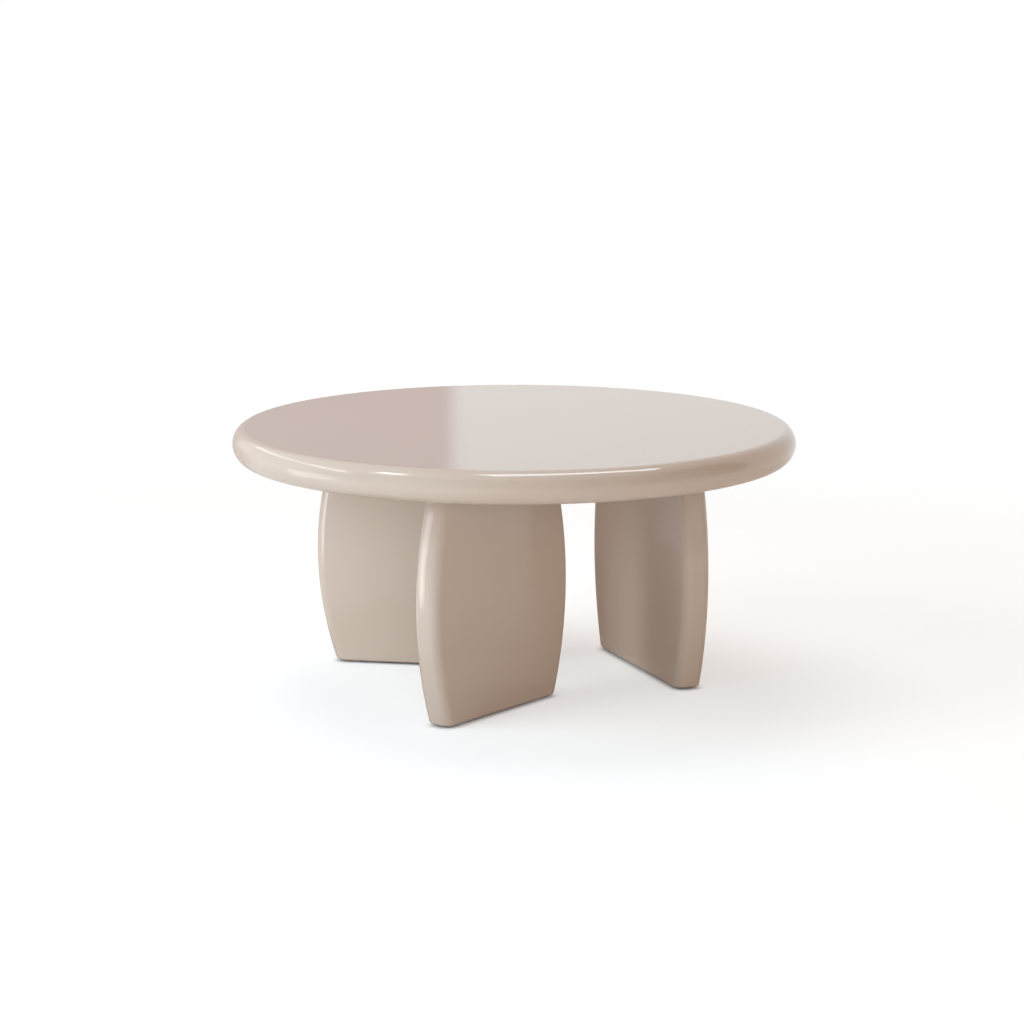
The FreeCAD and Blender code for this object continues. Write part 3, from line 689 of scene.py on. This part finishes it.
def threaded_insert(outer, bore, length):
    """An insert up its coarse outer thread and down its bore, with the mouths of the bore bevelled."""
    core = outer - THREAD_SHARE * INSERT_PITCH
    screw = thread(outer, INSERT_PITCH, BEVEL, length - BEVEL)
    upper_mouth = [(core, length), (bore + BEVEL, length), (bore, length - BEVEL)]
    lower_mouth = [(bore, BEVEL), (bore + BEVEL, 0)]
    return skin(carved(plain((core, 0)), screw, plain(*upper_mouth, *lower_mouth)), bored=True)


def fluted_dowel():
    """A dowel about its middle: chamfered ends and a fluted side."""
    end = [(DOWEL_SIZE - DOWEL_CHAMFER, -DOWEL_HALF), (DOWEL_SIZE, DOWEL_CHAMFER - DOWEL_HALF)]
    other = [(radius, -height) for radius, height in end[::-1]]
    return skin(carved(fluted(FLUTES, FLUTE_DEPTH, *end, *other)))


top_insert = threaded_insert(TOP_INSERT_RADIUS, TOP_INSERT_BORE, TOP_INSERT_LENGTH)
foot_insert = threaded_insert(FOOT_INSERT_RADIUS, FOOT_INSERT_BORE, FOOT_INSERT_LENGTH)
top_inserts = build("brass_top_inserts", place([top_insert], in_every_leg(bolt_places, on_plate)))
foot_spots = in_every_leg(foot_places, FOOT_POCKET_CEILING * MM)
foot_inserts = build("brass_foot_inserts", place([foot_insert], foot_spots))
dowels = build("fluted_dowels", place([fluted_dowel()], in_every_leg(dowel_places, UNDERSIDE)))
dressed += [(top_inserts, "top_inserts", "table"), (foot_inserts, "foot_inserts", "table")]
dressed.append((dowels, "leg_dowels", "table"))
print("inserts:", len(top_inserts.data.polygons) + len(foot_inserts.data.polygons), "faces")

# %% [markdown]
# ## How the pieces ride
# Each new surface stands for a node of the frame: the node is hidden, and the surface takes over its
# body, its place and its finish. Most pieces ride on the table itself. A pad and a base ride on their
# foot, which slides up and down, and a stem rides on a body of its own, which also turns.

# %% Stand for the frame's nodes
slots = {row["node"]: row["material_slot"] for row in frame["record"]["subparts"]}
for piece, node, body in dressed:
    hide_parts(node)
    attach(piece, body)
print("pieces:", len(dressed), "for", len(frame["nodes"]), "nodes")

# %% [markdown]
# ## Writing shaders as sums
# A material is a tree of nodes, and most of a tree is plain arithmetic. A small class that wraps a
# socket lets that arithmetic be written as a formula, so that 1 - mask adds the Math node it means.
# Every other kind of node comes from one method, which sets the node up and then fills its sockets.

# %% A socket that can be added and multiplied
MIX_SHARE, MIX_FIRST, MIX_SECOND, MIX_RESULT = 0, 6, 7, 2


class Tone:
    """An output in a node tree. Sums and products with it add Math nodes and give their outputs."""

    def __init__(self, tree, output=None):
        self.tree = tree
        self.output = output

    def node(self, kind, settings=None, sockets=None, out=0):
        """Add a node, set its settings, fill its sockets with values or links, and give one output."""
        made = self.tree.nodes.new(kind)
        for name, value in (settings or {}).items():
            setattr(made, name, value)
        for name, value in (sockets or {}).items():
            if isinstance(value, Tone):
                self.tree.links.new(value.output, made.inputs[name])
            else:
                made.inputs[name].default_value = value
        return Tone(self.tree, made.outputs[out])

    def math(self, operation, *terms):
        """A Math node on values."""
        return self.node("ShaderNodeMath", {"operation": operation}, dict(enumerate(terms)))

    def blend(self, first, second):
        """A mix of two colours, with this value as the share of the second."""
        sockets = {MIX_SHARE: self, MIX_FIRST: first, MIX_SECOND: second}
        return self.node("ShaderNodeMix", {"data_type": "RGBA"}, sockets, out=MIX_RESULT)

    def __add__(self, other):
        return self.math("ADD", self, other)

    __radd__ = __add__

    def __sub__(self, other):
        return self.math("SUBTRACT", self, other)

    def __rsub__(self, other):
        return self.math("SUBTRACT", other, self)

    def __mul__(self, other):
        return self.math("MULTIPLY", self, other)

    __rmul__ = __mul__


def material(name):
    """An empty node material, and the Tone that adds its nodes."""
    made = bpy.data.materials.new(name)
    made.use_nodes = True
    made.node_tree.nodes.clear()
    return made, Tone(made.node_tree)


def show(shader, kind="ShaderNodeOutputMaterial"):
    """Add a tree's output node and link a shader to its surface."""
    output = shader.tree.nodes.new(kind)
    shader.tree.links.new(shader.output, output.inputs["Surface"])


def noise(tree, scale, detail=2.0):
    """A noise pattern in the object's own metres; scale counts features per metre."""
    place_on = tree.node("ShaderNodeTexCoord", out="Object")
    return tree.node("ShaderNodeTexNoise", None, {"Vector": place_on, "Scale": scale, "Detail": detail})


print("shader helper ready")

# %% [markdown]
# ## The lacquer
# The finish is a warm greige lacquer, sprayed in several coats and polished to a high gloss. Up close a
# sprayed coat is never a perfect mirror: it keeps a faint orange peel a few millimetres across, its
# polish varies a little, and the pigment clouds slightly. All three are kept so weak that the flat
# still mirrors a clean edge. The gloss itself is left to the shader, so it moves with light and viewer.

# %% Lacquer
LACQUER = (0.590, 0.474, 0.391, 1.0)
LACQUER_DEEP = (0.579, 0.462, 0.379, 1.0)
LACQUER_ROUGHNESS, POLISH_SWING = 0.10, 0.02
LACQUER_INDEX = 1.5
CLOUDS_PER_METRE, POLISH_PER_METRE, PEEL_PER_METRE = 6.0, 14.0, 240.0
PEEL_DETAIL, PEEL_STRENGTH, PEEL_DEPTH = 1.0, 0.02, 1 * MM

lacquer, tree = material("greige_lacquer")
cloud = noise(tree, CLOUDS_PER_METRE)
peel = noise(tree, PEEL_PER_METRE, PEEL_DETAIL)
polish = noise(tree, POLISH_PER_METRE)
peel_bump = {"Strength": PEEL_STRENGTH, "Distance": PEEL_DEPTH, "Height": peel}
shader = tree.node("ShaderNodeBsdfPrincipled", None, {
    "Base Color": cloud.blend(LACQUER, LACQUER_DEEP),
    "Roughness": LACQUER_ROUGHNESS + POLISH_SWING * (polish - 0.5),
    "IOR": LACQUER_INDEX,
    "Normal": tree.node("ShaderNodeBump", None, peel_bump),
})
show(shader)
print("lacquer colour", LACQUER[:3])

# %% [markdown]
# ## Metal, wood and nylon
# The pieces below and between the lacquered ones are seen from underneath. Plates, bolts and washers
# have a black powder coat with a fine pebble. The feet, their inserts and the screws are zinc plated.
# The inserts in the top are turned brass, the dowels bare beech, and the feet stand on dark nylon pads.

# %% Finishes
POWDER_COAT = ((0.030, 0.030, 0.032, 1.0), (0.045, 0.045, 0.048, 1.0))
ZINC = ((0.60, 0.61, 0.63, 1.0), (0.50, 0.51, 0.52, 1.0))
BRASS = ((0.70, 0.52, 0.25, 1.0), (0.62, 0.45, 0.20, 1.0))
NYLON = ((0.045, 0.045, 0.045, 1.0), (0.060, 0.060, 0.058, 1.0))
BEECH = ((0.58, 0.40, 0.24, 1.0), (0.74, 0.56, 0.37, 1.0))
GRAIN_DETAIL, GRAIN_DEPTH = 3.0, 0.2 * MM
GRAINS_PER_BLOTCH = 8
COAT_BUMP, COAT_SWING = 0.15, 0.12
FIBRE_SCALE, FIBRE_BUMP = (900.0, 900.0, 60.0), 0.2
BEECH_ROUGHNESS, BEECH_SWING = 0.55, 0.2


def grained(name, colours, roughness, metallic, grain):
    """Blotches between two colours, and a fine grain in bump and polish, counted per metre."""
    made, tree = material(name)
    blotch = noise(tree, grain / GRAINS_PER_BLOTCH)
    fine = noise(tree, grain, GRAIN_DETAIL)
    fine_bump = {"Strength": COAT_BUMP, "Distance": GRAIN_DEPTH, "Height": fine}
    shader = tree.node("ShaderNodeBsdfPrincipled", None, {
        "Base Color": blotch.blend(*colours),
        "Metallic": metallic,
        "Roughness": roughness + COAT_SWING * (fine - 0.5),
        "Normal": tree.node("ShaderNodeBump", None, fine_bump),
    })
    show(shader)
    return made


def beech_wood():
    """Bare beech: long fibres along the dowel, between two colours, in bump and polish too."""
    made, tree = material("bare_beech")
    place_on = tree.node("ShaderNodeTexCoord", out="Object")
    stretched = tree.node("ShaderNodeMapping", None, {"Vector": place_on, "Scale": FIBRE_SCALE})
    along = {"Vector": stretched, "Scale": 1.0, "Detail": GRAIN_DETAIL}
    fibre = tree.node("ShaderNodeTexNoise", None, along)
    fibre_bump = {"Strength": FIBRE_BUMP, "Distance": GRAIN_DEPTH, "Height": fibre}
    shader = tree.node("ShaderNodeBsdfPrincipled", None, {
        "Base Color": fibre.blend(*BEECH),
        "Roughness": BEECH_ROUGHNESS + BEECH_SWING * fibre,
        "Normal": tree.node("ShaderNodeBump", None, fibre_bump),
    })
    show(shader)
    return made


finishes = {
    "lacquer": lacquer,
    "black_steel": grained("black_powder_coat", POWDER_COAT, roughness=0.42, metallic=0.0, grain=1400.0),
    "zinc_steel": grained("zinc_plate", ZINC, roughness=0.32, metallic=1.0, grain=900.0),
    "brass": grained("turned_brass", BRASS, roughness=0.28, metallic=1.0, grain=900.0),
    "nylon": grained("dark_nylon", NYLON, roughness=0.55, metallic=0.0, grain=1200.0),
    "beech": beech_wood(),
}
for piece, node, _ in dressed:
    piece.data.materials.clear()
    piece.data.materials.append(finishes[slots[node]])
print("finishes:", sorted(finishes))

# %% [markdown]
# ## Floor and surroundings
# The table stands on white paper that runs up into a white studio. The background has to be white for
# the eye, but a white that bright would also flood the table with light. So the world answers two
# questions in two ways: a ray from the lens, from gloss or through glass meets plain white, and a ray
# that carries soft light meets a dim warm glow. The paper does the same. Near the table it is half
# lifted towards white, which keeps the soft shadow. Ambient occlusion takes the lift away in the seam
# under a leg, and that paints a thin line of shade there. Further off the paper is white outright, so
# paper and background run together without a line.

# %% Floor
FLOOR_HALF = 30.0
PAPER = (0.90, 0.90, 0.89, 1.0)
WHITE = (1.0, 1.0, 1.0, 1.0)
LENS_PAPER = (0.58, 0.595, 0.60, 1.0)
LENS_GLOW = 0.53
FADE_START, FADE_END = 1.0, 2.2
# How far the painted shade in the seam under a leg reaches, and how many rays it takes.
SEAM_SHADE_REACH, SEAM_SHADE_SAMPLES = 12 * MM, 4


def looked_at(tree):
    """One for rays from the lens, from gloss and through glass, and zero for rays that carry soft light."""
    kinds = ("Is Camera Ray", "Is Glossy Ray", "Is Transmission Ray")
    seen, glossy, through = (tree.node("ShaderNodeLightPath", out=kind) for kind in kinds)
    return tree.math("MINIMUM", seen + glossy + through, 1.0)


def smooth_step(tree, value, start, end):
    """Zero before start, one after end, and an S-shaped rise between."""
    sockets = {"Value": value, "From Min": start, "From Max": end}
    return tree.node("ShaderNodeMapRange", {"interpolation_type": "SMOOTHSTEP"}, sockets)


def white_paper():
    """Matte paper with a glow for the lens.

    Near the table the lens sees about half of the paper's light and half a white glow. Ambient
    occlusion takes the glow away in the seam under a leg, a painted shade. Far off, every ray that
    looks meets plain white.
    """
    made, tree = material("white_paper")
    place_on = tree.node("ShaderNodeTexCoord", out="Object")
    distance = tree.node("ShaderNodeVectorMath", {"operation": "LENGTH"}, {0: place_on}, out="Value")
    far = smooth_step(tree, distance, FADE_START, FADE_END)
    by_lens = tree.node("ShaderNodeLightPath", out="Is Camera Ray")
    matte = tree.node("ShaderNodeBsdfDiffuse", None, {"Color": PAPER})
    shadowed = tree.node("ShaderNodeBsdfDiffuse", None, {"Color": LENS_PAPER})
    glow = tree.node("ShaderNodeEmission", None, {"Color": WHITE, "Strength": LENS_GLOW})
    glowing = tree.node("ShaderNodeAddShader", None, {0: shadowed, 1: glow})
    # Painted shade: ambient occlusion takes the white glow away in the seam under a leg.
    samples = {"samples": SEAM_SHADE_SAMPLES}
    open_air = tree.node("ShaderNodeAmbientOcclusion", samples, {"Distance": SEAM_SHADE_REACH}, out="AO")
    lifted = tree.node("ShaderNodeMixShader", None, {0: open_air, 1: shadowed, 2: glowing})
    near = tree.node("ShaderNodeMixShader", None, {0: by_lens, 1: matte, 2: lifted})
    white = tree.node("ShaderNodeEmission", None, {"Color": WHITE, "Strength": 1.0})
    show(tree.node("ShaderNodeMixShader", None, {0: looked_at(tree) * far, 1: near, 2: white}))
    return made


floor_mesh = bpy.data.meshes.new("floor")
floor_corners = [(x * FLOOR_HALF, y * FLOOR_HALF, 0.0) for x, y in ((-1, -1), (1, -1), (1, 1), (-1, 1))]
floor_mesh.from_pydata(floor_corners, [], [(0, 1, 2, 3)])
floor_mesh.materials.append(white_paper())
floor = bpy.data.objects.new("floor", floor_mesh)
bpy.context.scene.collection.objects.link(floor)
print("floor:", 2 * FLOOR_HALF, "m square")

# %% Surroundings
AMBIENT = 0.28
AMBIENT_TINT = (1.0, 0.82, 0.70, 1.0)

world = bpy.data.worlds.new("white_studio")
bpy.context.scene.world = world
world.use_nodes = True
world.node_tree.nodes.clear()
tree = Tone(world.node_tree)
ambient = tree.node("ShaderNodeBackground", None, {"Color": AMBIENT_TINT, "Strength": AMBIENT})
white = tree.node("ShaderNodeBackground", None, {"Color": WHITE, "Strength": 1.0})
mixed = tree.node("ShaderNodeMixShader", None, {0: looked_at(tree), 1: ambient, 2: white})
show(mixed, "ShaderNodeOutputWorld")
print("surroundings: ambient", AMBIENT)

# %% [markdown]
# ## Lamps
# A lamp does two jobs on lacquer. It lights the pigment, and it shows in the gloss as a bright shape.
# Photographers separate the two with diffusers and reflector boards, and here each lamp does one job.
# The pigment is lit by a large cool key lamp on the left, by fills all round and by a light from above.
# The gloss shows a low panel on the left, two strips higher up, a small window and a long strip
# overhead. The panel stays below the plane of the top, because the flat would mirror a taller one as
# a white patch. Two strips and a fill shine on one leg alone: light linking names what a lamp reaches.
# A row holds a lamp's name, its place, the way it faces, its width and height, its glow and its tint.
# Places are right of, behind and above the table, as the camera sees it.

# %% List of lamps
COOL = (0.81, 1.0, 1.15)
FRESH = (0.91, 1.0, 1.05)
PLAIN = (1.0, 1.0, 1.0)
WARM = (1.22, 1.0, 0.84)
INWARDS, DOWNWARDS = (1, 0, 0), (0, 0, -1)
IN_FRONT = ((-0.26, -2.97, 0.72), (0.26, 2.97, -0.37), (1.8, 1.0))
PIGMENT_LAMPS = (
    ("key_lamp", (-2.29, -1.22, 1.85), (2.29, 1.22, -1.5), (2.0, 2.0), 3.9, COOL),
    ("side_fill", (-2.28, -1.91, 0.72), (2.28, 1.91, -0.42), (1.0, 1.0), 3.4, COOL),
    ("front_fill", *IN_FRONT, 3.1, FRESH),
    ("top_light", (-0.3, 0.9, 2.9), (0.1, -0.3, -1), (2.2, 2.2), 2.3, PLAIN),
    ("right_fill", (2.56, -1.48, 0.82), (-2.56, 1.48, -0.52), (1.6, 1.6), 1.0, WARM),
    ("rear_fill", (-2.58, 1.49, 0.61), (2.58, -1.49, -0.31), (1.2, 1.2), 2.2, WARM),
    ("back_fill", (2.25, 1.3, 1.2), (-2.25, -1.3, -0.9), (1.6, 1.6), 0.7, WARM),
)
GLOSS_LAMPS = (
    ("left_panel", (-1.5, -0.36, 0.215), INWARDS, (0.62, 0.43), 2.2, FRESH),
    ("upper_strip", (-1.5, -0.36, 1.21), INWARDS, (0.62, 0.18), 5.0, PLAIN),
    ("side_strip", (-1.5, 0.7, 1.21), INWARDS, (1.5, 0.18), 2.2, PLAIN),
    ("small_window", (-1.805, -1.042, 2.568), (1.805, 1.042, -2.158), (0.5, 0.5), 11.0, PLAIN),
    ("ceiling_strip", (0.6, -0.52, 2.5), DOWNWARDS, (2.0, 0.45), 9.4, FRESH),
)
LEG_LAMPS = {
    "front": [("front_strip", (-0.8, -0.45, 0.29), INWARDS, (0.10, 0.46), 3.5, PLAIN, True)],
    "back": [
        ("back_strip", (-0.8, -0.27, 0.16), INWARDS, (0.35, 0.22), 5.2, PLAIN, True),
        ("back_leg_fill", *IN_FRONT, 2.4, FRESH, False),
    ],
}
print("lamps for the pigment:", len(PIGMENT_LAMPS), "for the gloss:", len(GLOSS_LAMPS))

# %% Lamps
AWAY = Vector((-to_camera.x, -to_camera.y, 0)).normalized()


def studio(side, depth, height):
    """A point or direction given as right of, behind and above the table, turned into the frame."""
    return to_right * side + AWAY * depth + Vector((0, 0, height))


def soft_lamp(name, spot, facing, size, glow, tint, in_gloss):
    """A rectangular lamp of a width and a height, for gloss or for pigment.

    Glow is how bright its face looks in a mirror: power over area over pi.
    """
    data = bpy.data.lights.new(name, "AREA")
    data.shape = "RECTANGLE"
    data.size, data.size_y = size
    data.energy = glow * size[0] * size[1] * math.pi
    data.color = tint
    lamp = bpy.data.objects.new(name, data)
    lamp.location = studio(*spot)
    lamp.rotation_mode = "QUATERNION"
    lamp.rotation_quaternion = studio(*facing).to_track_quat("-Z", "Y")
    lamp.visible_camera = False
    lamp.visible_glossy = in_gloss
    lamp.visible_diffuse = not in_gloss
    bpy.context.scene.collection.objects.link(lamp)
    print(name, "power", round(data.energy, 1), "W")
    return lamp


for row in PIGMENT_LAMPS:
    soft_lamp(*row, in_gloss=False)
for row in GLOSS_LAMPS:
    soft_lamp(*row, in_gloss=True)
for leg_name, rows in LEG_LAMPS.items():
    receivers = bpy.data.collections.new(f"lit_{leg_name}_leg")
    receivers.objects.link(legs[leg_name])
    for row in rows:
        soft_lamp(*row).light_linking.receiver_collection = receivers

# %% [markdown]
# ## Boards for the gloss
# The left third of the top is darker than the rest: it mirrors something grey that stands behind the
# table and ends in an upright edge. A board does that here, warm grey on the left and cool white on the
# right with a soft edge between. It starts level with the top, so the legs don't mirror it. A low grey
# board shows in the left end of the rim. Two dark cards lie on the floor under and behind the table,
# and the right leg mirrors them: they are painted shade, a dark floor in its reflection. A long
# curtain stands round the camera's side: a studio is dark behind the camera, and without it the legs
# would mirror white walls all round. Only gloss can see these sheets.

# %% Boards, cards and curtain
BOARD_LEFT, BOARD_EDGE, BOARD_RIGHT = -0.9, -0.116, 1.4
BOARD_DEPTH, BOARD_FOOT, BOARD_HEIGHT = 0.8, 0.43, 0.77
BOARD_FADE = 0.05
LOW_BOARD_LEFT, LOW_BOARD_RIGHT = -1.4, -0.56
BOARD_GREY = (0.60, 0.53, 0.54, 1.0)
BOARD_WHITE = (0.94, 0.98, 1.0, 1.0)
CARD_LIFT = 0.001
# Two dark cards of painted shade lie on the floor, and the right leg mirrors them.
NEAR_SHADE_CARD_FOOT = [(-0.45, -0.35, CARD_LIFT), (0.15, -0.35, CARD_LIFT)]
NEAR_SHADE_CARD_REACH = (0, 0.6, 0)
FAR_SHADE_CARD_FOOT = [(-0.009, 0.128, 2 * CARD_LIFT), (0.136, 0.259, 2 * CARD_LIFT)]
FAR_SHADE_CARD_REACH = (-1.1, 1.22, 0)
SHADE_CARD_GREY = (0.20, 0.17, 0.15, 1.0)
CURTAIN_RADIUS, CURTAIN_HEIGHT = 3.2, 3.0
CURTAIN_START, CURTAIN_END = math.radians(-76), math.radians(100)
CURTAIN_STEPS = 48
CURTAIN_GREY = (0.20, 0.20, 0.20, 1.0)


def gloss_sheet(name, foot, reach, left, right):
    """A sheet that only gloss sees, from a row of foot points along a reach, in a left and a right tone."""
    low = np.array(foot)
    points = np.stack((low, low + reach), axis=1).reshape(-1, 3)
    column = 2 * np.arange(len(low) - 1)[:, None]
    mesh = bpy.data.meshes.new(name)
    mesh.from_pydata([studio(*point) for point in points], [], (column + (0, 2, 3, 1)).tolist())
    made, tree = material(name)
    place_on = tree.node("ShaderNodeTexCoord", out="Object")
    across = {0: place_on, 1: to_right}
    side = tree.node("ShaderNodeVectorMath", {"operation": "DOT_PRODUCT"}, across, out="Value")
    edge = smooth_step(tree, side, BOARD_EDGE - BOARD_FADE / 2, BOARD_EDGE + BOARD_FADE / 2)
    glows = [tree.node("ShaderNodeEmission", None, {"Color": tone}) for tone in (left, right)]
    show(tree.node("ShaderNodeMixShader", None, {0: edge, 1: glows[0], 2: glows[1]}))
    mesh.materials.append(made)
    sheet = bpy.data.objects.new(name, mesh)
    for rays in ("camera", "diffuse", "shadow", "transmission"):
        setattr(sheet, f"visible_{rays}", False)
    bpy.context.scene.collection.objects.link(sheet)
    print(name, "with", len(mesh.polygons), "faces")


board_foot = [(BOARD_LEFT, BOARD_DEPTH, BOARD_FOOT), (BOARD_RIGHT, BOARD_DEPTH, BOARD_FOOT)]
gloss_sheet("two_tone_board", board_foot, (0, 0, BOARD_HEIGHT), BOARD_GREY, BOARD_WHITE)
low_foot = [(LOW_BOARD_LEFT, BOARD_DEPTH, 0.0), (LOW_BOARD_RIGHT, BOARD_DEPTH, 0.0)]
gloss_sheet("low_grey_board", low_foot, (0, 0, BOARD_FOOT), BOARD_GREY, BOARD_GREY)
# Painted shade that only gloss sees: the right leg mirrors these dark cards as a dark floor.
gloss_sheet("near_shade_card", NEAR_SHADE_CARD_FOOT, NEAR_SHADE_CARD_REACH, SHADE_CARD_GREY, SHADE_CARD_GREY)
gloss_sheet("far_shade_card", FAR_SHADE_CARD_FOOT, FAR_SHADE_CARD_REACH, SHADE_CARD_GREY, SHADE_CARD_GREY)
swing = np.linspace(CURTAIN_START, CURTAIN_END, CURTAIN_STEPS)
curtain_foot = np.stack((np.sin(swing), -np.cos(swing), 0 * swing), axis=-1) * CURTAIN_RADIUS
gloss_sheet("grey_curtain", curtain_foot, (0, 0, CURTAIN_HEIGHT), CURTAIN_GREY, CURTAIN_GREY)
